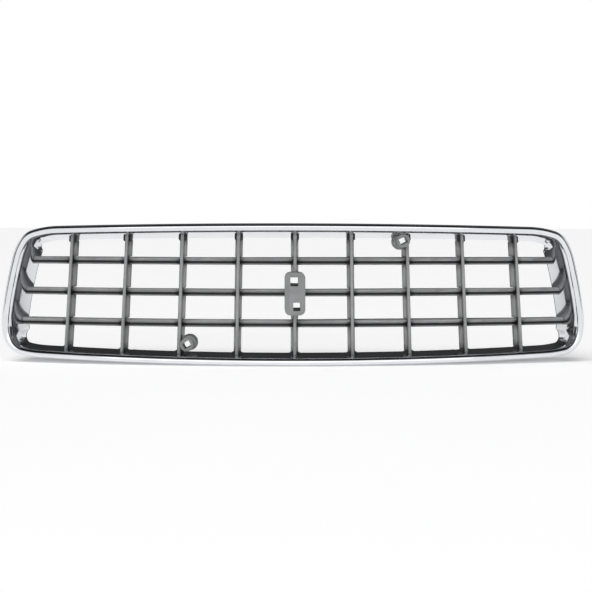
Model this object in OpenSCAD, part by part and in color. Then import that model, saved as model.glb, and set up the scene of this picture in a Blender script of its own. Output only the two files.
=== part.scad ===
// Front grille: a chrome surround over a cross-lapped grid of fins and bars.
// X is right, Z is up, the front looks along -Y, and every depth is measured back from the bezel crest.
// The origin is the middle of the emblem seat's front face.

/* [Overall] */
// Plan radius of the bowed front
bow_radius = 1383.6; // [900:0.1:3000]
// Lowest point of the outline at the middle
bottom_z = -83.2; // [-120:0.1:-60]
// Radius of the bottom edge
bottom_radius = 8500; // [3000:50:20000]
// Radius of the tight bottom corner
bottom_corner = 30; // [27:0.5:40]
// Radius of the long side edge
side_radius = 560; // [300:5:1200]
// Radius of the tight top corner
top_corner = 27; // [26:0.5:40]

/* [Chrome surround] */
// Width of the bezel before the wall starts
bezel = 9.2; // [7:0.1:14]
// Inward run of the wall at the sides
side_run = 17.5; // [4:0.1:20]
// Inward run of the wall at the top
top_run = 8; // [2:0.1:12]
// Inward run of the wall at the bottom
bottom_run = 2.5; // [2:0.1:10]
// Depth where the wall starts
wall_start = 3.8; // [3:0.1:6]
// Depth where the wall ends
wall_end = 35; // [25:0.5:50]
// Crown of the wall's section, 1 for a flat wall
wall_crown = 0.82; // [0.7:0.01:1]
// Thickness of the wall
wall_thick = 2.6; // [1.5:0.1:4]
// Depth of the outer skirt
skirt_depth = 16; // [8:0.5:24]
// Width of the rear flange
flange = 11.2; // [8:0.1:14]

/* [Grid] */
// Distance between fins
fin_pitch = 66.9; // [50:0.1:90]
// Splay of each fin for one step from the middle, in degrees
fin_splay = 1; // [0:0.05:2]
// Depth of a fin's front edge
fin_front = 15; // [10:0.5:24]
// Width of a fin at its front edge
fin_nose = 3.8; // [2.5:0.1:6]
// Width of a fin at its back
fin_tail = 9; // [5:0.1:12]
// Depth of the front of a fin's flared feet
foot_front = 23; // [18:0.5:30]
// Depth of the grid's back
grid_back = 41; // [36:0.5:60]
// Depth of a bar's front
bar_front = 22; // [16:0.5:30]
// Height of the upper bar's middle line
upper_bar_z = 37.7; // [20:0.1:60]
// Height of the middle bar's middle line
middle_bar_z = 0.7; // [-10:0.1:10]
// Height of the lower bar's middle line
lower_bar_z = -35.8; // [-60:0.1:-20]
// Gap left at every joint
gap = 0.15; // [0.05:0.05:0.5]

/* [Emblem seat] */
// Width of the seat
seat_w = 24; // [15:0.5:60]
// Height of the seat
seat_h = 50; // [30:0.5:90]
// Height of the ledge inside each slot
ledge_h = 2.6; // [1:0.1:4]
// Corner radius of the seat
seat_r = 6.8; // [2:0.1:12]
// Depth of the seat's front face
seat_front = 9; // [4:0.5:14]
// Depth of the seat's back
seat_back = 34; // [20:0.5:40]

/* [Strip bosses] */
// Diameter of a boss
boss_d = 15.6; // [10:0.1:24]
// Sideways place of the upper boss
boss_x = 126.6; // [60:0.1:200]
// Height of the upper boss
upper_boss_z = 62; // [20:0.1:64]
// Height of the lower boss
lower_boss_z = -60.2; // [-64:0.1:-20]
// Width of the slot in a boss
boss_slot_w = 8.7; // [5:0.1:9]
// Height of the slot in a boss
boss_slot_h = 7.4; // [5:0.1:8]
// Height of the ledge inside the slot
boss_ledge_h = 0.7; // [0.4:0.1:2]
// Turn of the slots in degrees
boss_turn = 28; // [0:1:90]

/* [Mounting] */
// Distance from the middle to the outer tabs and to the pegs
mount_x = 200; // [100:1:260]
// Hole in a tab
tab_hole = 6.6; // [4:0.1:9]
// Diameter of a locating peg
peg_d = 6; // [4:0.1:8]
// Length of a locating peg
peg_len = 27; // [18:0.5:40]

/* [Hidden] */
$fn = 48;
eps = 0.01;
run_depth = wall_end - wall_start;
rim_front = wall_end + 0.2;
shelf_back = rim_front + 2.8;
rim_back = grid_back + 0.6;
bar_h = 9;
bar_zs = [upper_bar_z, middle_bar_z, lower_bar_z];

// Outline: one right half of tangent arcs, bottom middle to top middle, as headings and radii
turns = [0, 2.03, 11, 80, 98.5, 105.5, 125, 163, 178.5, 180];
steps = [15, 3, 9, 3, 5, 4, 8, 4, 14];
open_radii = [bottom_radius, 150, bottom_corner, 80, side_radius, 70, top_corner, 118];
function arc_step(r, a, b) = r * [sin(b) - sin(a), cos(a) - cos(b)];
function open_joint(i) = i == 0
    ? [0, bottom_z]
    : open_joint(i - 1) + arc_step(open_radii[i - 1], turns[i - 1], turns[i]);
radii = concat(open_radii, [open_joint(8).x / sin(turns[8])]);
function joint_at(i) = open_joint(min(i, 8));
function on_arc(i, h) = joint_at(i) + arc_step(radii[i], turns[i], h);

// One station is [x, z, heading]
right_half = [
    for (i = [0:8])
        for (k = [0:steps[i] - 1])
            let (h = turns[i] + (turns[i + 1] - turns[i]) * k / steps[i])
            let (p = on_arc(i, h))
            [p.x, p.y, h]
];
top_middle = [0, on_arc(8, 180).y, 180];
left_half = [
    for (i = [len(right_half) - 1:-1:1])
        [-right_half[i].x, right_half[i].y, 360 - right_half[i].z]
];
stations = concat(right_half, [top_middle], left_half);

function smooth(t) = let (c = max(0, min(1, t))) c * c * (3 - 2 * c);
function fold(h) = h > 180 ? 360 - h : h;
function run_at(h) = let (f = fold(h)) f < 95
    ? bottom_run + (side_run - bottom_run) * smooth((f - 4) / 78)
    : top_run + (side_run - top_run) * smooth((174 - f) / 64);
function bulge(x) = bow_radius - sqrt(bow_radius * bow_radius - x * x);
function inset(s, d) = [s.x - d * sin(s.z), s.y + d * cos(s.z)];

// Height of the outline's top and bottom edges, and its right side, at a given place
top_radius = radii[8];
function top_z(x) = top_middle.y - top_radius + sqrt(top_radius * top_radius - x * x);
function low_z(x) = bottom_z + bottom_radius - sqrt(bottom_radius * bottom_radius - x * x);
function side_arc(z) = z > joint_at(5).y ? 5 : z > joint_at(4).y ? 4 : 3;
function side_heading(z) = let (i = side_arc(z)) acos(cos(turns[i]) - (z - joint_at(i).y) / radii[i]);
function side_x(z) = on_arc(side_arc(z), side_heading(z)).x;
function wall_heading(z, d, n = 4) = n == 0
    ? side_heading(z)
    : side_heading(z - d * cos(wall_heading(z, d, n - 1)));
function wall_x(z, d) =
    let (h = wall_heading(z, d))
    side_x(z - d * cos(h)) - d * sin(h);

// Place of a point that is turned round the plan centre, and a plan depth measured along Y
function swung_x(x, depth) = (bow_radius - depth) * x / bow_radius;
function swung_y(x, depth) = bow_radius - (bow_radius - depth) * sqrt(1 - x * x / (bow_radius * bow_radius));
// Share of the wall's run reached at a depth: quick by the crest and slower further in
function wall_run(depth) = pow(max(0, depth - wall_start) / run_depth, wall_crown);

// Moves a shape built on the bezel crest so that the emblem seat's face is at the origin
module framed() {
    translate([0, -seat_front, 0]) children();
}

// Turns a shape built at the middle round the plan centre, to sit at a sideways place
module swung(x) {
    translate([0, bow_radius, 0])
        rotate([0, 0, asin(x / bow_radius)])
            translate([0, -bow_radius, 0]) children();
}

// Section of the surround at one station: pairs of inward offset and depth
function surround_section(run) = [
    [0, 5.2],
    [0.3, 3.1],
    [1.1, 1.5],
    [2.3, 0.5],
    [3.7, 0],
    [5.3, 0.2],
    [6.8, 0.8],
    [8, 1.6],
    [8.7, 2.5],
    [bezel, wall_start],
    for (t = [0.25, 0.45, 0.65, 0.83])
        [bezel + run * pow(t, wall_crown), wall_start + run_depth * t],
    [bezel + run, wall_end],
    [bezel + run - flange, wall_end],
    [bezel + run - flange, wall_end - 2.6],
    [bezel + run * 0.9 - wall_thick - 0.9, wall_end - 2.6],
    [bezel + run * 0.55 - wall_thick - 0.3, wall_start + run_depth * 0.5],
    [bezel + run * 0.1 - wall_thick, wall_start + run_depth * 0.1],
    [5.4, 4.2],
    [3.4, 4],
    [2.4, 5.4],
    [2.2, skirt_depth],
    [0.3, skirt_depth]
];

module swept_section() {
    rings = [for (s = stations) [
        for (q = surround_section(run_at(s.z)))
            let (p = inset(s, q.x))
            [p.x, bulge(p.x) + q.y, p.y]
    ]];
    n = len(rings);
    m = len(rings[0]);
    points = [for (r = rings) each r];
    faces = [
        for (i = [0:n - 1])
            for (j = [0:m - 1])
                let (a = i * m + j)
                let (b = i * m + (j + 1) % m)
                let (c = ((i + 1) % n) * m + (j + 1) % m)
                let (d = ((i + 1) % n) * m + j)
                each [[a, b, c], [a, c, d]]
    ];
    polyhedron(points, faces);
}

// Flat outline inset by an offset measured from the wall's inner end
module wall_outline(d) {
    polygon([for (s = stations) inset(s, bezel + run_at(s.z) + d)]);
}

// Shell between two depths that follows the bow, high enough for the whole object
module bowed_shell(front, back, high) {
    translate([0, bow_radius, -high / 2])
        rotate([0, 0, -90 - 18])
            rotate_extrude(angle = 36, $fn = 720)
                translate([bow_radius - back, 0])
                    square([back - front, high]);
}

// Band between two outlines, cut from a bowed shell
module bowed_band(outer, inner, front, back) {
    intersection() {
        bowed_shell(front, back, 190);
        translate([0, 140, 0])
            rotate([90, 0, 0])
                linear_extrude(height = 160)
                    difference() {
                        wall_outline(outer);
                        wall_outline(inner);
                    }
    }
}

screw_xs = [-270, -165, -67, 67, 165, 270];
screw_seat = flange - 3.2;

module at_rim_screws(depth) {
    for (x = screw_xs) {
        swung(x) translate([0, depth, top_z(x) - bezel - top_run + screw_seat]) rotate([90, 0, 0]) children();
        swung(x) translate([0, depth, low_z(x) + bezel + bottom_run - screw_seat]) rotate([90, 0, 0]) children();
    }
}

module chrome_surround() {
    color([0.86, 0.87, 0.89])
        framed()
            difference() {
                swept_section();
                at_rim_screws(rim_back) cylinder(h = 12, d = 2.8);
            }
}

module insert_rim() {
    color([0.08, 0.08, 0.085])
        framed()
            difference() {
                union() {
                    bowed_band(0.2 - flange, -0.3, rim_front, shelf_back + eps);
                    bowed_band(0.2 - flange, -5.6, shelf_back, rim_back);
                }
                at_rim_screws(rim_back + 1) cylinder(h = 12, d = 2.8);
                at_bracket_screws(rim_back + 1) cylinder(h = 12, d = 2.8);
            }
}

// Bar section on the plan radius: a rounded nose, a shadow groove and a lower bead
module bar_section() {
    r = bow_radius - bar_front;
    half = bar_h / 2;
    difference() {
        union() {
            translate([r - 2.6, half - 2.6]) rotate(180) circle(r = 2.6, $fn = 32);
            polygon([
                [bow_radius - grid_back, half - 0.8],
                [bow_radius - grid_back, 0.8 - half],
                [r - 3.4, -half],
                [r - 2.3, 0.1 - half],
                [r - 1.5, 0.9 - half],
                [r - 1.4, -2.3],
                [r - 2.6, -1],
                [r - 2.6, half]
            ]);
        }
        translate([r - 0.6, -1.3]) rotate([0, 0, 45]) square([2.5, 2.5], center = true);
    }
}

module bar_body() {
    translate([0, bow_radius, 0])
        rotate([0, 0, -90 - 17])
            rotate_extrude(angle = 34, $fn = 720)
                bar_section();
}

module tongue_body() {
    translate([0, bow_radius, 0])
        rotate([0, 0, -90 - 17])
            rotate_extrude(angle = 34, $fn = 720)
                translate([bow_radius - grid_back + 0.2, -2.4]) square([grid_back - shelf_back - 0.4, 4.8]);
}

// Everything outside the wall on the right at a bar's height, moved outward by d
module right_cut(z, d) {
    front = bezel + side_run * wall_run(bar_front);
    back = bezel + side_run;
    half = bar_h / 2;
    lean = atan((wall_x(z - half, back) - wall_x(z + half, back)) / bar_h);
    ax = (wall_x(z - half, front) + wall_x(z + half, front)) / 2 - 0.5 + d;
    bx = (wall_x(z - half, back) + wall_x(z + half, back)) / 2 - 0.5 + d;
    ay = bulge(ax) + bar_front;
    by = bulge(bx) + wall_end;
    translate([ax, ay, 0])
        rotate([0, -lean, atan2(ax - bx, by - ay)])
            translate([0, -60, -60]) cube([100, 140, 120]);
}

module both_cuts(z, d) {
    right_cut(z, d);
    mirror([1, 0, 0]) right_cut(z, d);
}

module horizontal_bar(z) {
    color([0.33, 0.34, 0.345])
        framed()
            translate([0, 0, z]) {
                difference() {
                    bar_body();
                    both_cuts(z, 0);
                }
                difference() {
                    tongue_body();
                    both_cuts(z, 4.6);
                }
            }
}

module horizontal_bar_upper() {
    horizontal_bar(upper_bar_z);
}

module horizontal_bar_middle() {
    horizontal_bar(middle_bar_z);
}

module horizontal_bar_lower() {
    horizontal_bar(lower_bar_z);
}

// Plan section of a fin: a rounded nose that widens to the back
module fin_section() {
    translate([0, fin_front + fin_nose / 2]) circle(d = fin_nose, $fn = 24);
    polygon([
        [-fin_nose / 2, fin_front + fin_nose / 2],
        [fin_nose / 2, fin_front + fin_nose / 2],
        [fin_tail / 2, grid_back],
        [-fin_tail / 2, grid_back]
    ]);
}

// Foot that flares a fin's end out to the wall
module fin_foot() {
    translate([0, wall_end - 0.4, 0])
        rotate([90, 0, 0])
            linear_extrude(height = wall_end - 0.4 - foot_front)
                difference() {
                    translate([-7, 0]) square([14, 12]);
                    translate([7, 9.6]) circle(r = 4.4);
                    translate([-7, 9.6]) circle(r = 4.4);
                    translate([2.6, 8.8]) square([10, 10]);
                    translate([-12.6, 8.8]) square([10, 10]);
                    translate([6.2, -eps]) square([4, 9]);
                    translate([-10.2, -eps]) square([4, 9]);
                }
}

// Everything above the top wall at a fin's place, moved outward by d
module top_cut(x, d) {
    z = top_z(x) - bezel - top_run * wall_run(fin_front) - 0.35 + d;
    translate([-30, fin_front, z])
        rotate([-atan(top_run * (1 - wall_run(fin_front)) / (wall_end - fin_front)), 0, 0])
            translate([0, -40, 0]) cube([60, 110, 60]);
}

// Everything below the bottom wall at a fin's place, moved outward by d
module low_cut(x, d) {
    z = low_z(x) + bezel + bottom_run * wall_run(fin_front) + 0.35 - d;
    translate([-30, fin_front, z])
        rotate([atan(bottom_run * (1 - wall_run(fin_front)) / (wall_end - fin_front)), 0, 0])
            translate([0, -40, -60]) cube([60, 110, 60]);
}

// Notches at the back of a fin, square to the bars
module bar_notches(x) {
    swung(x)
        for (z = bar_zs)
            translate([-20, bar_front - gap, z - bar_h / 2 - gap])
                cube([40, 40, bar_h + 2 * gap]);
}

// One whole fin at step i, with its feet, notches and tongues
module fin_blank(i) {
    x = i * fin_pitch;
    intersection() {
        bowed_shell(fin_front - 4, grid_back, 190);
        difference() {
            translate([x, bulge(x), 0])
                rotate([0, -i * fin_splay, 0]) {
                    translate([0, 0, -90]) linear_extrude(height = 180) fin_section();
                    translate([0, 0, low_z(x) + bezel - 2]) fin_foot();
                    translate([0, 0, top_z(x) - bezel - 4.5]) mirror([0, 0, 1]) scale([0.78, 1, 1]) fin_foot();
                }
            translate([x, bulge(x), 0]) top_cut(x, 0);
            translate([x, bulge(x), 0]) low_cut(x, 0);
            bar_notches(x);
        }
    }
    intersection() {
        bowed_shell(shelf_back + 0.2, grid_back, 190);
        difference() {
            translate([x, bulge(x), 0])
                rotate([0, -i * fin_splay, 0])
                    translate([-3.6, fin_front + 15, -90]) cube([7.2, 30, 180]);
            translate([x, bulge(x), 0]) top_cut(x, 4.6);
            translate([x, bulge(x), 0]) low_cut(x, 4.6);
            bar_notches(x);
        }
    }
}

function boss_z(s) = s > 0 ? upper_boss_z : lower_boss_z;

// Slot through a strip boss, also cut from the fin that carries it
module boss_slot(s, grow) {
    translate([s * boss_x, 0, boss_z(s)])
        rotate([0, -boss_turn, 0])
            translate([-boss_slot_w / 2 - grow, 0, -boss_slot_h / 2 - grow])
                cube([boss_slot_w + 2 * grow, 80, boss_slot_h + 2 * grow]);
}

// Space a strip boss takes, used to notch its fin
module boss_space(s) {
    x = s * boss_x;
    translate([x, bulge(x) - 6, boss_z(s)])
        rotate([-90, 0, 0])
            cylinder(h = 23 + 6, d = boss_d + 2 * gap);
}

// Flare of a carrier fin's foot that would run into its boss
module foot_side(s) {
    fx = s * 2 * fin_pitch;
    translate([fx, bulge(fx) + 10, 0])
        rotate([0, -s * 2 * fin_splay, 0])
            mirror([s < 0 ? 1 : 0, 0, 0])
                translate([-20 - fin_tail / 2, 0, boss_z(s) - 22]) cube([20, 40, 44]);
}

module vertical_fin(i) {
    color([0.33, 0.34, 0.345])
        framed()
            fin_blank(i);
}

module carrier_fin(i, s) {
    color([0.33, 0.34, 0.345])
        framed()
            difference() {
                fin_blank(i);
                boss_space(s);
                boss_slot(s, 0.3);
                foot_side(s);
            }
}

module vertical_fin_1() {
    vertical_fin(-4);
}

module vertical_fin_2() {
    vertical_fin(-3);
}

module vertical_fin_3() {
    carrier_fin(-2, -1);
}

module vertical_fin_4() {
    vertical_fin(-1);
}

module vertical_fin_6() {
    vertical_fin(1);
}

module vertical_fin_7() {
    carrier_fin(2, 1);
}

module vertical_fin_8() {
    vertical_fin(3);
}

module vertical_fin_9() {
    vertical_fin(4);
}

// The middle fin stops at the seat and laps behind its wall
module vertical_fin_5_upper() {
    color([0.33, 0.34, 0.345])
        framed()
            difference() {
                fin_blank(0);
                translate([-20, 0, -100]) cube([40, seat_back + gap, 100 + seat_h / 2 + gap]);
                translate([-20, 0, -100]) cube([40, 60, 100 + seat_h / 2 - 2.2]);
            }
}

module vertical_fin_5_lower() {
    color([0.33, 0.34, 0.345])
        framed()
            difference() {
                fin_blank(0);
                translate([-20, 0, -seat_h / 2 - gap]) cube([40, seat_back + gap, 120]);
                translate([-20, 0, -seat_h / 2 + 2.2]) cube([40, 60, 120]);
            }
}

module rounded_plate(w, h, r) {
    square([w - 2 * r, h], center = true);
    square([w, h - 2 * r], center = true);
    for (x = [-1, 1])
        for (z = [-1, 1])
            translate([x * (w / 2 - r), z * (h / 2 - r)]) circle(r = r);
}

// Lays a flat shape in the front plane and gives it depth
module deep(front, back) {
    translate([0, back, 0])
        rotate([90, 0, 0])
            linear_extrude(height = back - front) children();
}

module emblem_seat() {
    color([0.4, 0.41, 0.415])
        framed()
            difference() {
                union() {
                    deep(seat_front, seat_front + 3.4) rounded_plate(seat_w, seat_h, seat_r);
                    difference() {
                        deep(seat_front + 1, seat_back) rounded_plate(seat_w, seat_h, seat_r);
                        deep(seat_front, seat_back + 1) rounded_plate(seat_w - 4.4, seat_h - 4.4, seat_r - 2.2);
                    }
                    deep(seat_front + 1, seat_back - 2) translate([-0.8, 14.2]) square([13.2, 14.2], center = true);
                    deep(seat_front + 1, seat_back - 2) translate([2.1, -15]) square([12.4, 13.6], center = true);
                    deep(seat_front + 1, seat_back - 2) square([seat_w - 2, 14.4], center = true);
                }
                deep(seat_front - 1, seat_back + 1) translate([-0.8, 14.2]) square([9.2, 10.4], center = true);
                deep(seat_front - 1, seat_back + 1) translate([2.1, -15]) square([8.2, 9.8], center = true);
                translate([-20, bar_front - gap, middle_bar_z - bar_h / 2 - gap])
                    cube([40, 40, bar_h + 2 * gap]);
            }
    color([0.4, 0.41, 0.415])
        framed() {
            slot_ledge(-0.8, 9, 10.2);
            slot_ledge(2.1, -19.9, 9.2);
        }
}

// Step across the bottom of a seat slot that a spring tongue hooks behind
module slot_ledge(x, z, w) {
    deep(seat_back - 5.5, seat_back - 2.4)
        translate([x, z + (ledge_h - 0.5) / 2]) square([w, ledge_h + 0.5], center = true);
}

// Space beside a boss that its fin takes, from a given depth back
module fin_side(s, depth) {
    fx = s * 2 * fin_pitch;
    translate([fx, bulge(fx) + depth, 0])
        rotate([0, -s * 2 * fin_splay, 0])
            mirror([s < 0 ? 1 : 0, 0, 0])
                translate([-fin_tail / 2 - gap, 0, -90]) cube([40, 40, 180]);
}

// Strip boss on one side: a round socket, a wider collar behind it and the slanted slot
module strip_boss(s) {
    x = s * boss_x;
    color([0.4, 0.41, 0.415])
        framed()
            difference() {
                union() {
                    translate([x, bulge(x) + 11.5, boss_z(s)])
                        rotate([-90, 0, 0]) cylinder(h = 23 - 11.5 - gap, d = boss_d);
                    difference() {
                        translate([x - s * 2.2, bulge(x) + 18, boss_z(s) - s * 1.2])
                            rotate([-90, 0, 0]) cylinder(h = 16, d1 = boss_d + 1, d2 = boss_d + 4);
                        fin_side(s, 10);
                    }
                }
                boss_slot(s, 0);
                translate([x, bulge(x), 0]) top_cut(x, 0);
                translate([x, bulge(x), 0]) low_cut(x, 0);
                fin_side(s, 22);
            }
    color([0.4, 0.41, 0.415])
        framed()
            translate([x, bulge(x) + 18.5, boss_z(s)])
                rotate([0, -boss_turn, 0])
                    translate([-boss_slot_w / 2 - 0.4, 0, -boss_slot_h / 2 - 0.4])
                        cube([boss_slot_w + 0.8, 2.5, boss_ledge_h + 0.4]);
}

module strip_boss_upper() {
    strip_boss(1);
}

module strip_boss_lower() {
    strip_boss(-1);
}

tab_z = top_z(mount_x) - bezel - top_run + 8.2;
tab_screw_z = tab_z + 2.2;
peg_z = low_z(mount_x) + bezel + bottom_run - 6.9;
tab_reach = 24;

// Places of the screws that hold the tabs and pegs, on the back of the rim
module at_bracket_screws(depth) {
    for (x = [-mount_x, 0, mount_x])
        for (sx = [-1, 1])
            swung(x) translate([sx * 14.2, depth, tab_screw_z]) rotate([90, 0, 0]) children();
    for (x = [-mount_x, mount_x])
        for (sx = [-1, 1])
            swung(x) translate([sx * 11, depth, peg_z]) rotate([90, 0, 0]) children();
}

// Tab: a foot on the rim's back and a shelf with a bore, for the panel above
module mount_tab(x) {
    color([0.09, 0.09, 0.095])
        framed()
            difference() {
                swung(x)
                    union() {
                        translate([-18, rim_back + 0.2, tab_z - 4.9]) cube([36, 2.5, 10.3]);
                        translate([-12, rim_back + 0.2, tab_z - 4.9]) cube([24, tab_reach, 2.6]);
                        translate([0, rim_back + tab_reach, tab_z - 4.9]) cylinder(h = 2.6, d = 24);
                        for (sx = [-10.4, 8.2])
                            translate([sx, rim_back + 1, tab_z - 4])
                                rotate([90, 0, 90])
                                    linear_extrude(height = 2.2) polygon([[0, 0], [15, 0], [0, 9]]);
                    }
                swung(x) translate([0, rim_back + tab_reach, tab_z - 9]) cylinder(h = 10, d = tab_hole);
                at_bracket_screws(rim_back + 5) cylinder(h = 8, d = 2.9);
            }
}

module mount_tab_left() {
    mount_tab(-mount_x);
}

module mount_tab_centre() {
    mount_tab(0);
}

module mount_tab_right() {
    mount_tab(mount_x);
}

// Peg: a foot on the rim's back and a round pin with a lead-in, straight along Y
module locating_peg(x) {
    px = swung_x(x, rim_back);
    y = swung_y(x, rim_back);
    color([0.09, 0.09, 0.095])
        framed()
            difference() {
                union() {
                    swung(x) translate([-14.5, rim_back + 0.2, peg_z - 4.8]) cube([29, 2.5, 9.6]);
                    translate([px, y + 1.5, peg_z]) rotate([-90, 0, 0]) cylinder(h = 4, d = 9.4);
                    translate([px, y + 1.5, peg_z]) rotate([-90, 0, 0]) cylinder(h = 13.3, d = peg_d);
                    translate([px, y + 1.5, peg_z]) rotate([-90, 0, 0]) cylinder(h = peg_len - 1.5, d = peg_d - 0.4);
                    translate([px, y + peg_len, peg_z])
                        rotate([-90, 0, 0]) cylinder(h = 2, d1 = peg_d - 0.4, d2 = peg_d - 2.6);
                }
                at_bracket_screws(rim_back + 5) cylinder(h = 8, d = 2.9);
            }
}

module locating_peg_left() {
    locating_peg(-mount_x);
}

module locating_peg_right() {
    locating_peg(mount_x);
}

// Rubber grommet on each peg, waisted for the panel hole
module peg_grommets() {
    color([0.05, 0.05, 0.052])
        framed()
            for (x = [-mount_x, mount_x])
                translate([swung_x(x, rim_back), swung_y(x, rim_back) + 5.6, peg_z])
                    rotate([-90, 0, 0])
                        difference() {
                            union() {
                                cylinder(h = 3, d = 10);
                                cylinder(h = 9, d = 8.6);
                                translate([0, 0, 6]) cylinder(h = 3, d1 = 10, d2 = 8.6);
                            }
                            translate([0, 0, -1]) cylinder(h = 12, d = peg_d + 0.1);
                        }
}

// Pan head screw that points forward from its seat
module pan_screw(len) {
    translate([0, 0, -2.2]) cylinder(h = 1.1, d1 = 4.2, d2 = 6);
    translate([0, 0, -1.1]) cylinder(h = 1.1, d = 6);
    cylinder(h = len, d = 2.6);
}

module rim_screws() {
    color([0.5, 0.5, 0.52])
        framed()
            at_rim_screws(rim_back + 0.05) pan_screw(8.6);
}

// Screws that hold the feet of the tabs and pegs to the rim
module bracket_screws() {
    color([0.5, 0.5, 0.52])
        framed()
            at_bracket_screws(rim_back + 2.75) pan_screw(7.4);
}

// Strip of foam on the rim's back between two sideways places
module foam_run(a, b) {
    translate([0, bow_radius, top_z(b) - bezel - top_run + 6.2])
        rotate([0, 0, -90 + asin(a / bow_radius)])
            rotate_extrude(angle = asin(b / bow_radius) - asin(a / bow_radius), $fn = 720)
                translate([bow_radius - rim_back - 5.1, 0]) square([5, 5.4]);
}

// Foam that closes the gap to the panel above
module foam_seal() {
    color([0.12, 0.12, 0.125])
        framed()
            for (sx = [0, 1])
                mirror([sx, 0, 0]) {
                    foam_run(22, 60);
                    foam_run(74, 157);
                }
}

chrome_surround();
insert_rim();
horizontal_bar_upper();
horizontal_bar_middle();
horizontal_bar_lower();
vertical_fin_1();
vertical_fin_2();
vertical_fin_3();
vertical_fin_4();
vertical_fin_5_upper();
vertical_fin_5_lower();
vertical_fin_6();
vertical_fin_7();
vertical_fin_8();
vertical_fin_9();
emblem_seat();
strip_boss_upper();
strip_boss_lower();
mount_tab_left();
mount_tab_centre();
mount_tab_right();
locating_peg_left();
locating_peg_right();
peg_grommets();
rim_screws();
bracket_screws();
foam_seal();
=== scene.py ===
import math

import bpy
from mathutils import Matrix, Vector


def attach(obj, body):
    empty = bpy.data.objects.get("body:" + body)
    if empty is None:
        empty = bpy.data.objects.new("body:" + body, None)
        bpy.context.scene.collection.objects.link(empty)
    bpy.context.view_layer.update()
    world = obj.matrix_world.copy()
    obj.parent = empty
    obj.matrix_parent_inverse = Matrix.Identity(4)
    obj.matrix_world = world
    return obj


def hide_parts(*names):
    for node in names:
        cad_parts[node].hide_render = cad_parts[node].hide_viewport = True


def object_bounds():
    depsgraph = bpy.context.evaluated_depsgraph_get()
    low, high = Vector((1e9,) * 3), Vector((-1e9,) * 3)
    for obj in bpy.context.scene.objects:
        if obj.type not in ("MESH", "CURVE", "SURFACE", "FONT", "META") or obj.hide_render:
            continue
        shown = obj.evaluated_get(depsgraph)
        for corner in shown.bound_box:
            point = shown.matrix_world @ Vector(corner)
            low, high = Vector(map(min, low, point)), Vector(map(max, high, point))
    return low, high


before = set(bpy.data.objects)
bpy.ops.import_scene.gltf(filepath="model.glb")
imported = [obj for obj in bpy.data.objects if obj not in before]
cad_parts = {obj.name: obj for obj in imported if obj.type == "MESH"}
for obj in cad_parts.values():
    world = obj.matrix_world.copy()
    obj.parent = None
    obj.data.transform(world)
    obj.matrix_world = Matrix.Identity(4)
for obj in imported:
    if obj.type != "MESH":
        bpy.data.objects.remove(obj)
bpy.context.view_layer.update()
mm = 0.001


class Wire:
    # one output socket, with the sums that a material needs
    def __init__(self, board, socket):
        self.board = board
        self.socket = socket

    def __add__(self, other):
        return self.board.sum("ADD", self, other)

    def __radd__(self, other):
        return self.board.sum("ADD", other, self)

    def __sub__(self, other):
        return self.board.sum("SUBTRACT", self, other)

    def __rsub__(self, other):
        return self.board.sum("SUBTRACT", other, self)

    def __mul__(self, other):
        return self.board.sum("MULTIPLY", self, other)

    def __rmul__(self, other):
        return self.board.sum("MULTIPLY", other, self)

    def __abs__(self):
        return self.board.sum("ABSOLUTE", self, 0.0)

    def clamped(self):
        return self.board.sum("ADD", self, 0.0, clamp=True)


class Board:
    # a node tree being built, with one method that adds any node
    def __init__(self, owner):
        owner.use_nodes = True
        self.tree = owner.node_tree
        self.tree.nodes.clear()

    def add(self, kind, settings=None, values=None, out=0):
        node = self.tree.nodes.new(kind)
        for key, value in (settings or {}).items():
            setattr(node, key, value)
        for key, value in (values or {}).items():
            if isinstance(value, Wire):
                self.tree.links.new(value.socket, node.inputs[key])
            else:
                node.inputs[key].default_value = value
        return Wire(self, node.outputs[out]) if node.outputs else None

    def sum(self, operation, first, second, clamp=False):
        return self.add("ShaderNodeMath", {"operation": operation, "use_clamp": clamp}, {0: first, 1: second})

    def grain(self, place, scale, detail=3.0, roughness=0.5):
        return self.add("ShaderNodeTexNoise", None,
                        {"Vector": place, "Scale": scale, "Detail": detail, "Roughness": roughness})

    def cells(self, place, scale, settings=None, out=0):
        return self.add("ShaderNodeTexVoronoi", settings, {"Vector": place, "Scale": scale}, out)

    def stretched(self, place, scale):
        return self.add("ShaderNodeMapping", None, {"Vector": place, "Scale": scale})

    def span(self, value, low, high, toLow, toHigh):
        return self.add("ShaderNodeMapRange", None, {"Value": value, "From Min": low, "From Max": high,
                                                     "To Min": toLow, "To Max": toHigh})

    def near(self, value, middle, inside, outside, strength):
        # full strength close to the middle, fading to nothing
        return self.span(abs(value - middle), inside, outside, strength, 0.0)

    def blend(self, share, first, second, mode="MIX"):
        return self.add("ShaderNodeMix", {"data_type": "RGBA", "blend_type": mode},
                        {0: share, 6: first, 7: second}, out=2)

    def axes(self, place):
        split = self.add("ShaderNodeSeparateXYZ", None, {"Vector": place})
        return [Wire(self, socket) for socket in split.socket.node.outputs]

    def bumped(self, height, strength, distance):
        return self.add("ShaderNodeBump", None, {"Height": height, "Strength": strength, "Distance": distance})

    def surface(self, values):
        shader = self.add("ShaderNodeBsdfPrincipled", None, values)
        self.add("ShaderNodeOutputMaterial", None, {"Surface": shader})

    def millimetres(self):
        # object coordinates counted in millimetres
        return self.stretched(self.add("ShaderNodeTexCoord", out="Object"), (1000.0, 1000.0, 1000.0))

    def edges(self, low, high):
        # 0 on flats and in hollows, 1 on sharp edges
        return self.span(self.add("ShaderNodeNewGeometry", out="Pointiness"), low, high, 0.0, 1.0)


chromeLook = {
    "bright": (0.80, 0.81, 0.835, 1), "shade": (0.70, 0.715, 0.75, 1), "roughness": (0.045, 0.13),
    "haze": 0.03, "wipe": 0.9, "wipeStretch": (0.25, 1.0, 2.2), "pit": 0.35, "swell": 0.02, "ripple": 0.24,
}


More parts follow.
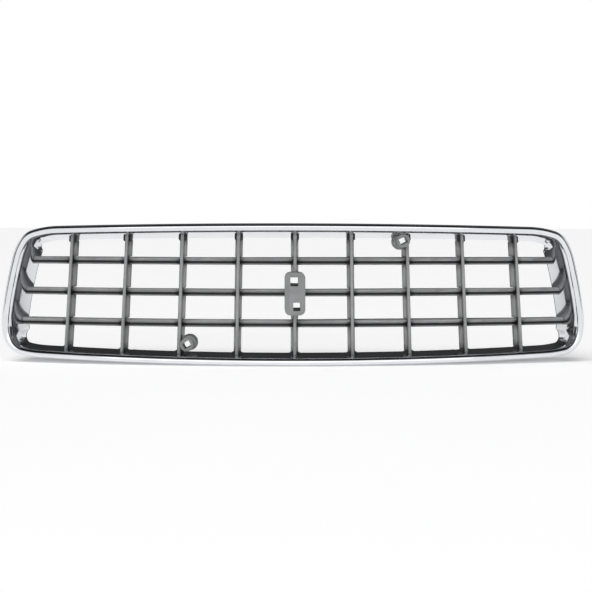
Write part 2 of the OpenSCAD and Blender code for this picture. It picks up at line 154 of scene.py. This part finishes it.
def chromeFinish(look):
    material = bpy.data.materials.new("polishedChrome")
    b = Board(material)
    place = b.millimetres()
    haze = b.grain(place, look["haze"], 4.0, 0.6)
    wipe = b.grain(b.stretched(place, look["wipeStretch"]), look["wipe"], 5.0, 0.7)
    pits = b.span(b.cells(place, look["pit"]), 0.02, 0.07, 1.0, 0.0)
    low, high = look["roughness"]
    swell = b.grain(place, look["swell"], 2.0, 0.4)
    b.surface({
        "Metallic": 1.0, "Specular IOR Level": 0.6,
        "Base Color": b.blend(b.span(haze, 0.35, 0.7, 0.0, 0.6), look["bright"], look["shade"]),
        "Roughness": (b.span(haze, 0.3, 0.75, low, high) + b.span(wipe, 0.55, 0.8, 0.0, 0.05)
                      + pits * 0.1).clamped(),
        "Normal": b.bumped(swell + wipe * 0.02 - pits * 0.01, look["ripple"], 0.4 * mm),
    })
    return material


def plasticFinish(name, look, shadowShare=None):
    material = bpy.data.materials.new(name)
    b = Board(material)
    place = b.millimetres()
    cloud = b.grain(place, look["cloud"])
    skin = b.cells(place, look["grain"], {"feature": "SMOOTH_F1"})
    fine = b.grain(place, look["grain"] * 2.3, 4.0, 0.6)
    # lighter on sharp edges: partly edge wear, partly painted highlight
    edgePatches = b.span(b.grain(place, 0.12, 4.0, 0.6), 0.35, 0.65, 0.35, 1.0)
    wearAndHighlight = (b.edges(*look["edge"]) * edgePatches).clamped()
    colour = b.blend(b.span(cloud, 0.3, 0.7, 0.0, 1.0), look["dark"], look["light"])
    colour = b.blend(b.span(fine, 0.45, 0.75, 0.0, look["fleck"]), colour, look["edgeColour"])
    colour = b.blend(wearAndHighlight * look["wearAndHighlight"], colour, look["edgeColour"])
    # painted shade: the colour darkens towards the shadow colour wherever the share says
    if shadowShare:
        colour = b.blend(shadowShare(b, place, fine), colour, look["shadow"])
    low, high = look["roughness"]
    b.surface({
        "IOR": 1.5, "Specular IOR Level": look["gloss"], "Base Color": colour,
        "Roughness": (b.span(cloud, 0.3, 0.7, low, high) + fine * 0.06 - wearAndHighlight * 0.06).clamped(),
        "Normal": b.bumped(skin + fine * 0.5, look["bump"], 0.12 * mm),
    })
    return material


# shadow is the near-black colour that the painted shade on the grid darkens to
gridLook = {
    "dark": (0.215, 0.217, 0.219, 1), "light": (0.28, 0.282, 0.284, 1), "edgeColour": (0.46, 0.465, 0.47, 1),
    "shadow": (0.012, 0.012, 0.013, 1), "cloud": 0.045, "grain": 1.6, "edge": (0.51, 0.6), "wearAndHighlight": 0.55,
    "fleck": 0.18, "roughness": (0.40, 0.52), "bump": 0.16, "gloss": 0.45,
}
gridPlaces = {
    "bow": 1 / 2767.2, "crest": -9.0, "pitch": 66.9, "lean": 0.01745,
    "barZs": {"upper": 37.7, "middle": 0.7, "lower": -35.8},
}
# painted shade on the fins: where it lies and how dark it is
finShade = {
    "flank": (16.5, 19.0), "flankLine": 20.5, "flankLineInside": 2.0, "flankLineOutside": 4.5, "flankLineDepth": 0.7,
    "topZ": 62.5, "topFall": 4.7e-5, "lowZ": -67.0, "lowRise": 5.88e-5, "footRun": 6.5,
    "byBar": (4.5, 9.0, 0.6), "tail": (34.0, 41.0, 0.5),
}
# painted shade on the bars: where it lies and how dark it is
barShade = {
    "byFin": (3.0, 8.0, 0.75), "groove": -1.4, "grooveInside": 1.2, "grooveOutside": 2.0,
    "line": 1.5, "lineInside": 0.2, "lineOutside": 0.7, "lineDepth": 0.3, "tail": (26.0, 34.0, 0.6),
}


def depthIn(x, y):
    # how far a place lies behind the bowed crest, in millimetres
    return y - x * x * gridPlaces["bow"] - gridPlaces["crest"]


def finShadow(b, place, fine):
    # painted shade: darker along the nose, beside the bars and at both feet
    x, y, z = b.axes(place)
    depth = depthIn(x, y)
    topZ, lowZ, run = finShade["topZ"], finShade["lowZ"], finShade["footRun"]
    close = b.span(z + x * x * finShade["topFall"] + fine * 2, topZ - run, topZ, 0.0, 0.85)
    close = close + b.span(z - x * x * finShade["lowRise"] + fine * 2, lowZ + run, lowZ, 0.0, 0.9)
    for barZ in gridPlaces["barZs"].values():
        close = close + b.near(z, barZ - 1.0, *finShade["byBar"])
    flankLine = b.near(depth, finShade["flankLine"], finShade["flankLineInside"], finShade["flankLineOutside"], finShade["flankLineDepth"])
    start, end, strength = finShade["tail"]
    tail = b.span(depth, start, end, 0.0, strength)
    return (close * b.span(depth, *finShade["flank"], 0.0, 1.0) + flankLine + tail).clamped()


def barShadow(barZ):
    def share(b, place, fine):
        # painted shade: darker in the groove, along one thin line, behind and close to each fin
        x, y, z = b.axes(place)
        steps = x * (1 / (gridPlaces["pitch"] - gridPlaces["lean"] * barZ))
        away = b.sum("PINGPONG", steps, 0.5) * gridPlaces["pitch"]
        start, end, strength = barShade["byFin"]
        byFin = b.span(away, start, end, strength, 0.0) * b.span(z, barZ + 4.2, barZ + 1.0, 0.0, 1.0)
        groove = b.near(z, barZ + barShade["groove"], barShade["grooveInside"], barShade["grooveOutside"], 0.9)
        line = b.near(z, barZ + barShade["line"], barShade["lineInside"], barShade["lineOutside"],
                      barShade["lineDepth"])
        start, end, strength = barShade["tail"]
        tail = b.span(depthIn(x, y), start, end, 0.0, strength)
        return (byFin + groove + line + tail + fine * 0.05).clamped()
    return share


seatLook = {
    "dark": (0.18, 0.185, 0.185, 1), "light": (0.235, 0.24, 0.24, 1), "edgeColour": (0.34, 0.345, 0.35, 1),
    "cloud": 0.08, "grain": 2.4, "edge": (0.51, 0.6), "wearAndHighlight": 0.3, "fleck": 0.4,
    "roughness": (0.5, 0.62), "bump": 0.35, "gloss": 0.4,
}
rimLook = {
    "dark": (0.012, 0.012, 0.013, 1), "light": (0.02, 0.02, 0.021, 1), "edgeColour": (0.06, 0.06, 0.063, 1),
    "cloud": 0.04, "grain": 1.2, "edge": (0.51, 0.62), "wearAndHighlight": 0.5, "fleck": 0.2,
    "roughness": (0.55, 0.7), "bump": 0.35, "gloss": 0.35,
}
bracketLook = {
    "dark": (0.018, 0.018, 0.02, 1), "light": (0.03, 0.03, 0.032, 1), "edgeColour": (0.085, 0.085, 0.09, 1),
    "cloud": 0.06, "grain": 1.9, "edge": (0.51, 0.62), "wearAndHighlight": 0.5, "fleck": 0.25,
    "roughness": (0.4, 0.55), "bump": 0.22, "gloss": 0.45,
}
rubberLook = {
    "dark": (0.010, 0.010, 0.011, 1), "light": (0.02, 0.02, 0.02, 1), "edgeColour": (0.05, 0.05, 0.05, 1),
    "cloud": 0.2, "grain": 3.0, "edge": (0.52, 0.65), "wearAndHighlight": 0.35, "fleck": 0.3,
    "roughness": (0.75, 0.88), "bump": 0.3, "gloss": 0.25,
}
foamLook = {
    "dark": (0.006, 0.006, 0.0065, 1), "light": (0.04, 0.04, 0.042, 1), "cell": 1.1, "fine": 3.5, "bump": 0.9,
    "roughness": (0.88, 1.0),
}
zincLook = {
    "dark": (0.34, 0.335, 0.32, 1), "light": (0.55, 0.555, 0.56, 1), "roughness": (0.24, 0.42),
    "crystal": 1.4, "cloud": 0.5, "turned": 1.4, "turnedStretch": (6.0, 0.4, 6.0),
}


def foamFinish(look):
    material = bpy.data.materials.new("openCellFoam")
    b = Board(material)
    place = b.millimetres()
    walls = b.span(b.cells(place, look["cell"]), 0.1, 0.6, 0.0, 1.0)
    fine = b.grain(place, look["fine"], 4.0, 0.65)
    b.surface({
        "Specular IOR Level": 0.15,
        "Base Color": b.blend((walls * 0.7 + fine * 0.3).clamped(), look["dark"], look["light"]),
        "Roughness": b.span(fine, 0.3, 0.7, *look["roughness"]),
        "Normal": b.bumped(walls + fine * 0.4, look["bump"], 0.5 * mm),
    })
    return material


def zincFinish(look):
    material = bpy.data.materials.new("zincPlate")
    b = Board(material)
    place = b.millimetres()
    tone = b.add("ShaderNodeSeparateColor", None, {"Color": b.cells(place, look["crystal"], out="Color")})
    cloud = b.grain(place, look["cloud"], 4.0, 0.6)
    turned = b.grain(b.stretched(place, look["turnedStretch"]), look["turned"], 3.0, 0.6)
    mix = (tone * 0.35 + cloud * 0.6 + b.edges(0.5, 0.6) * 0.3).clamped()
    b.surface({
        "Metallic": 1.0, "Base Color": b.blend(mix, look["dark"], look["light"]),
        "Roughness": b.span(cloud, 0.3, 0.7, *look["roughness"]) + turned * 0.08,
        "Normal": b.bumped(turned + cloud * 0.4, 0.3, 0.05 * mm),
    })
    return material


barFinishes = {level: plasticFinish("barPlastic_" + level, gridLook, barShadow(barZ))
               for level, barZ in gridPlaces["barZs"].items()}
finishes = {
    "chrome": chromeFinish(chromeLook),
    "grid_grey": plasticFinish("finPlastic", gridLook, finShadow),
    "seat_grey": plasticFinish("seatPlastic", seatLook),
    "rim_black": plasticFinish("rimPlastic", rimLook),
    "bracket_black": plasticFinish("bracketPlastic", bracketLook),
    "screw_steel": zincFinish(zincLook),
    "rubber": plasticFinish("mouldedRubber", rubberLook),
    "foam": foamFinish(foamLook),
}
print("finishes ready")


def pickOnly(piece):
    bpy.ops.object.select_all(action="DESELECT")
    piece.select_set(True)
    bpy.context.view_layer.objects.active = piece


def settle(piece, slotName, *nodes):
    piece.data.materials.clear()
    piece.data.materials.append(finishes[slotName])
    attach(piece, "root")
    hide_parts(*nodes)


roundSizes = {"merge": 0.002 * mm, "flat": 1.0, "sharp": 28, "smooth": 40}


def roundedCopy(nodeName, slotName, width, segments):
    # a merged copy of a node with its sharp edges rounded
    piece = bpy.data.objects.new(nodeName + "_moulded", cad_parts[nodeName].data.copy())
    bpy.context.collection.objects.link(piece)
    pickOnly(piece)
    piece.data.materials.clear()
    bpy.ops.object.mode_set(mode="EDIT")
    bpy.ops.mesh.select_all(action="SELECT")
    bpy.ops.mesh.remove_doubles(threshold=roundSizes["merge"])
    bpy.ops.mesh.dissolve_limited(angle_limit=math.radians(roundSizes["flat"]))
    bpy.ops.object.mode_set(mode="OBJECT")
    bevel = piece.modifiers.new("round", "BEVEL")
    bevel.width = width * mm
    bevel.segments = segments
    bevel.limit_method = "ANGLE"
    bevel.angle_limit = math.radians(roundSizes["sharp"])
    bevel.use_clamp_overlap = True
    bpy.ops.object.modifier_apply(modifier="round")
    bpy.ops.object.shade_smooth_by_angle(angle=math.radians(roundSizes["smooth"]))
    settle(piece, slotName, nodeName)
    return piece


surroundSizes = {
    "bowRadius": 1383.6, "bottom": -83.2, "bezel": 9.2, "sideRun": 17.5, "topRun": 8.0, "bottomRun": 2.5,
    "wallStart": 3.8, "wallEnd": 35.0, "wallThick": 2.6, "crown": 0.82,
    "skirt": 16.0, "flange": 11.2, "crestBack": 9.0,
    "inset": 0.08, "smooth": 32, "lip": 0.3, "flangeThick": 2.6,
    "nose": [(0, 5.2), (0.3, 3.1), (1.1, 1.5), (2.3, 0.5), (3.7, 0.02), (5.3, 0.2), (6.8, 0.8), (8, 1.6), (8.7, 2.5)],
    "noseCuts": 3, "hollow": [(5.4, 4.2), (3.4, 4.0), (2.4, 5.4)], "skirtInner": 2.2, "skirtOuter": 0.25,
    "sideFold": 95, "lowEase": (4, 78), "topEase": (174, 64), "shortestArc": 3,
    # headings in degrees round the right half, and the radius of each stretch between them
    "turns": [0, 2.03, 11, 80, 98.5, 105.5, 125, 163, 178.5, 180],
    "radii": [8500, 150, 30, 80, 560, 70, 27, 118],
    "wallSteps": [0.03, 0.1, 0.18, 0.27, 0.36, 0.45, 0.54, 0.63, 0.72, 0.81, 0.9, 0.96, 0.996],
    "longestStep": 7.0, "largestTurn": 3.0,
}


def arcStep(radius, start, end):
    a, b = math.radians(start), math.radians(end)
    return radius * (math.sin(b) - math.sin(a)), radius * (math.cos(a) - math.cos(b))


def outlineStations(sizes):
    # places along the outer edge with the heading at each, right half and then left
    x, z = 0.0, sizes["bottom"]
    right = []
    turns = sizes["turns"]
    for i in range(len(turns) - 1):
        start, end = turns[i], turns[i + 1]
        radius = sizes["radii"][i] if i < len(sizes["radii"]) else x / math.sin(math.radians(start))
        length = radius * math.radians(end - start)
        count = max(sizes["shortestArc"], math.ceil(length / sizes["longestStep"]),
                    math.ceil((end - start) / sizes["largestTurn"]))
        for k in range(count):
            heading = start + (end - start) * k / count
            dx, dz = arcStep(radius, start, heading)
            right.append((x + dx, z + dz, heading))
        dx, dz = arcStep(radius, start, end)
        x, z = x + dx, z + dz
    middle = [(0.0, z, 180.0)]
    left = [(-a, b, 360 - h) for a, b, h in right[:0:-1]]
    return right + middle + left


def eased(t):
    t = max(0.0, min(1.0, t))
    return t * t * (3 - 2 * t)


def wallRun(heading, sizes):
    fold = 360 - heading if heading > 180 else heading
    if fold < sizes["sideFold"]:
        start, length = sizes["lowEase"]
        return sizes["bottomRun"] + (sizes["sideRun"] - sizes["bottomRun"]) * eased((fold - start) / length)
    start, length = sizes["topEase"]
    return sizes["topRun"] + (sizes["sideRun"] - sizes["topRun"]) * eased((start - fold) / length)


def throughPoints(points, cuts):
    # a smooth line through the points, with extra points between each pair
    line = []
    for i in range(len(points) - 1):
        before, a = points[max(i - 1, 0)], points[i]
        b, after = points[i + 1], points[min(i + 2, len(points) - 1)]
        for k in range(cuts):
            t = k / cuts
            line.append(tuple(
                0.5 * (2 * a[j] + (b[j] - before[j]) * t
                       + (2 * before[j] - 5 * a[j] + 4 * b[j] - after[j]) * t * t
                       + (3 * a[j] - before[j] - 3 * b[j] + after[j]) * t * t * t)
                for j in range(2)))
    line.append(points[-1])
    return line


def surroundSection(run, sizes):
    # (inward, depth) round one section: crest, inner wall, flange, hollow back and skirt
    bezel, start, end = sizes["bezel"], sizes["wallStart"], sizes["wallEnd"]
    thick, skirt, lip = sizes["wallThick"], sizes["skirt"], sizes["lip"]
    nose = throughPoints(sizes["nose"] + [(bezel, start)], sizes["noseCuts"])
    wall = [(bezel + run * t ** sizes["crown"], start + (end - start) * t) for t in sizes["wallSteps"]]
    flangeFrom, flangeFront = bezel + run - sizes["flange"], end - sizes["flangeThick"]
    flange = [
        (bezel + run - 0.01, end), (flangeFrom + lip, end), (flangeFrom, end - lip),
        (flangeFrom, flangeFront + lip), (flangeFrom + lip, flangeFront),
    ]
    back = [
        (bezel + run * 0.9 - thick - 0.9, flangeFront),
        (bezel + run * 0.55 - thick - 0.3, start + (end - start) * 0.5),
        (bezel + run * 0.1 - thick, start + (end - start) * 0.1),
    ]
    inner, outer = sizes["skirtInner"], sizes["skirtOuter"]
    rim = [(inner, skirt - lip), (inner - 0.2, skirt), (outer * 2, skirt), (outer, skirt - lip)]
    return nose + wall + flange + back + sizes["hollow"] + rim


def bulge(x, sizes):
    radius = sizes["bowRadius"]
    return radius - math.sqrt(radius * radius - x * x)


def brightSurround(sizes):
    stations = outlineStations(sizes)
    rings = []
    for x, z, heading in stations:
        s, c = math.sin(math.radians(heading)), math.cos(math.radians(heading))
        ring = []
        for inward, depth in surroundSection(wallRun(heading, sizes), sizes):
            px, pz = x - (inward + sizes["inset"]) * s, z + (inward + sizes["inset"]) * c
            ring.append((px * mm, (bulge(px, sizes) + depth - sizes["crestBack"]) * mm, pz * mm))
        rings.append(ring)
    n, m = len(rings), len(rings[0])
    faces = [(i * m + j, i * m + (j + 1) % m, (i + 1) % n * m + (j + 1) % m, (i + 1) % n * m + j)
             for i in range(n) for j in range(m)]
    mesh = bpy.data.meshes.new("surround_shell")
    mesh.from_pydata([p for ring in rings for p in ring], [], faces)
    piece = bpy.data.objects.new("surround_shell", mesh)
    bpy.context.collection.objects.link(piece)
    pickOnly(piece)
    bpy.ops.object.mode_set(mode="EDIT")
    bpy.ops.mesh.select_all(action="SELECT")
    bpy.ops.mesh.normals_make_consistent(inside=False)
    bpy.ops.object.mode_set(mode="OBJECT")
    bpy.ops.object.shade_smooth_by_angle(angle=math.radians(sizes["smooth"]))
    settle(piece, "chrome", "chrome_surround")
    return piece


brightSurround(surroundSizes)
print("surround made")


gridSizes = {"barRound": 0.35, "finRound": 0.3, "segments": 2}
for level in ("upper", "middle", "lower"):
    bar = roundedCopy("horizontal_bar_" + level, "grid_grey", gridSizes["barRound"], gridSizes["segments"])
    bar.data.materials[0] = barFinishes[level]
for fin in ("1", "2", "3", "4", "5_upper", "5_lower", "6", "7", "8", "9"):
    roundedCopy("vertical_fin_" + fin, "grid_grey", gridSizes["finRound"], gridSizes["segments"])
print("grid made")


seatSizes = {"seatRound": 0.5, "bossRound": 0.45, "segments": 3}
roundedCopy("emblem_seat", "seat_grey", seatSizes["seatRound"], seatSizes["segments"])
for side in ("upper", "lower"):
    roundedCopy("strip_boss_" + side, "seat_grey", seatSizes["bossRound"], seatSizes["segments"])
print("seat and bosses made")


backSizes = {"rimRound": 0.3, "tabRound": 0.5, "pegRound": 0.3, "screwRound": 0.18, "grommetRound": 0.35,
             "foamRound": 0.8, "segments": 2}
roundedCopy("insert_rim", "rim_black", backSizes["rimRound"], backSizes["segments"])
for side in ("left", "centre", "right"):
    roundedCopy("mount_tab_" + side, "bracket_black", backSizes["tabRound"], backSizes["segments"])
for side in ("left", "right"):
    roundedCopy("locating_peg_" + side, "bracket_black", backSizes["pegRound"], backSizes["segments"])
roundedCopy("peg_grommets", "rubber", backSizes["grommetRound"], backSizes["segments"])
for group in ("rim_screws", "bracket_screws"):
    roundedCopy(group, "screw_steel", backSizes["screwRound"], backSizes["segments"])
roundedCopy("foam_seal", "foam", backSizes["foamRound"], backSizes["segments"])
print("back pieces made")

studio = {
    "floorSize": 60.0, "floorDrop": 0.6 * mm, "floorColour": (0.82, 0.82, 0.82, 1),
    "floorShade": (0.808, 0.808, 0.808, 1), "floorGlow": 0.24, "floorMottle": 3.0,
    "worldPatches": 5.0, "worldWander": 0.5, "lid": (0.35, 0.6, 1.0, 0.1),
    "stops": [(0.0, 1.0), (0.16, 1.0), (0.22, 0.06), (0.42, 0.04),
              (0.5, 0.8), (0.84, 0.85), (0.9, 0.05), (1.0, 0.03)],
    "skyFrom": (-0.9, -1.1, 3.0), "skyPower": 2.5, "skySpread": 55,
    "boxFrom": (0, -2.6, 0.9), "boxSize": (3.2, 1.4), "boxPower": 10,
    "cameraAt": (-0.02394, -1.28261, 0.08313), "yaw": 1.118, "pitch": 3.805, "roll": 0.131, "lens": 67.309,
}


def studioFloor():
    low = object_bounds()[0][2] - studio["floorDrop"]
    bpy.ops.object.select_all(action="DESELECT")
    bpy.ops.mesh.primitive_plane_add(size=studio["floorSize"], location=(0, 0, low))
    floor = bpy.context.object
    floor.name = "floor"
    material = bpy.data.materials.new("paleFloor")
    b = Board(material)
    mottle = b.grain(b.add("ShaderNodeTexCoord", out="Object"), studio["floorMottle"])
    b.surface({
        "Roughness": 0.9, "Emission Strength": studio["floorGlow"], "Emission Color": (1, 1, 1, 1),
        "Base Color": b.blend(mottle, studio["floorColour"], studio["floorShade"]),
    })
    floor.data.materials.append(material)


def studioWorld():
    # light and dark bands along the view for the chrome to reflect, plain white for the camera
    world = bpy.data.worlds.new("studioWorld")
    bpy.context.scene.world = world
    b = Board(world)
    towards = b.add("ShaderNodeTexCoord", out="Generated")
    x, y, z = b.axes(towards)
    patches = b.grain(towards, studio["worldPatches"], 2.0)
    along = (y + patches * studio["worldWander"]) * 0.5 + 0.375
    bands = b.add("ShaderNodeValToRGB", None, {0: along})
    ramp = bands.socket.node.color_ramp
    while len(ramp.elements) < len(studio["stops"]):
        ramp.elements.new(0.5)
    for element, (place, value) in zip(ramp.elements, studio["stops"]):
        element.position = place
        element.color = (value, value, value * 1.01, 1)
    shaded = b.blend(1.0, bands, b.span(z, *studio["lid"]), "MULTIPLY")
    seen = b.blend(b.add("ShaderNodeLightPath", out="Is Camera Ray"), shaded, (1, 1, 1, 1))
    b.add("ShaderNodeOutputWorld", None, {"Surface": b.add("ShaderNodeBackground", None, {"Color": seen})})


def addLamp(name, kind, place):
    # a light aimed at the middle of the grille
    light = bpy.data.lights.new(name, kind)
    lamp = bpy.data.objects.new(name, light)
    lamp.location = place
    lamp.rotation_euler = (-Vector(place)).to_track_quat("-Z", "Y").to_euler()
    bpy.context.collection.objects.link(lamp)
    return lamp


def studioLights():
    sky = addLamp("sky", "SUN", studio["skyFrom"])
    sky.data.energy = studio["skyPower"]
    sky.data.angle = math.radians(studio["skySpread"])
    sky.visible_glossy = False
    box = addLamp("front", "AREA", studio["boxFrom"])
    box.data.shape = "RECTANGLE"
    box.data.size, box.data.size_y = studio["boxSize"]
    box.data.energy = studio["boxPower"]


def studioCamera():
    camera = bpy.data.objects.new("camera", bpy.data.cameras.new("camera"))
    bpy.context.collection.objects.link(camera)
    camera.location = studio["cameraAt"]
    yaw, pitch, roll = (math.radians(studio[k]) for k in ("yaw", "pitch", "roll"))
    forward = Vector((math.sin(yaw) * math.cos(pitch), math.cos(yaw) * math.cos(pitch), -math.sin(pitch)))
    turn = forward.to_track_quat("-Z", "Y").to_matrix().to_4x4()
    camera.rotation_euler = (turn @ Matrix.Rotation(roll, 4, "Z")).to_euler()
    camera.data.lens = studio["lens"]
    camera.data.sensor_width = 36
    camera.data.clip_end = 100
    bpy.context.scene.camera = camera


studioFloor()
studioWorld()
studioLights()
studioCamera()
bpy.context.scene.view_settings.view_transform = "Standard"
print("studio ready")
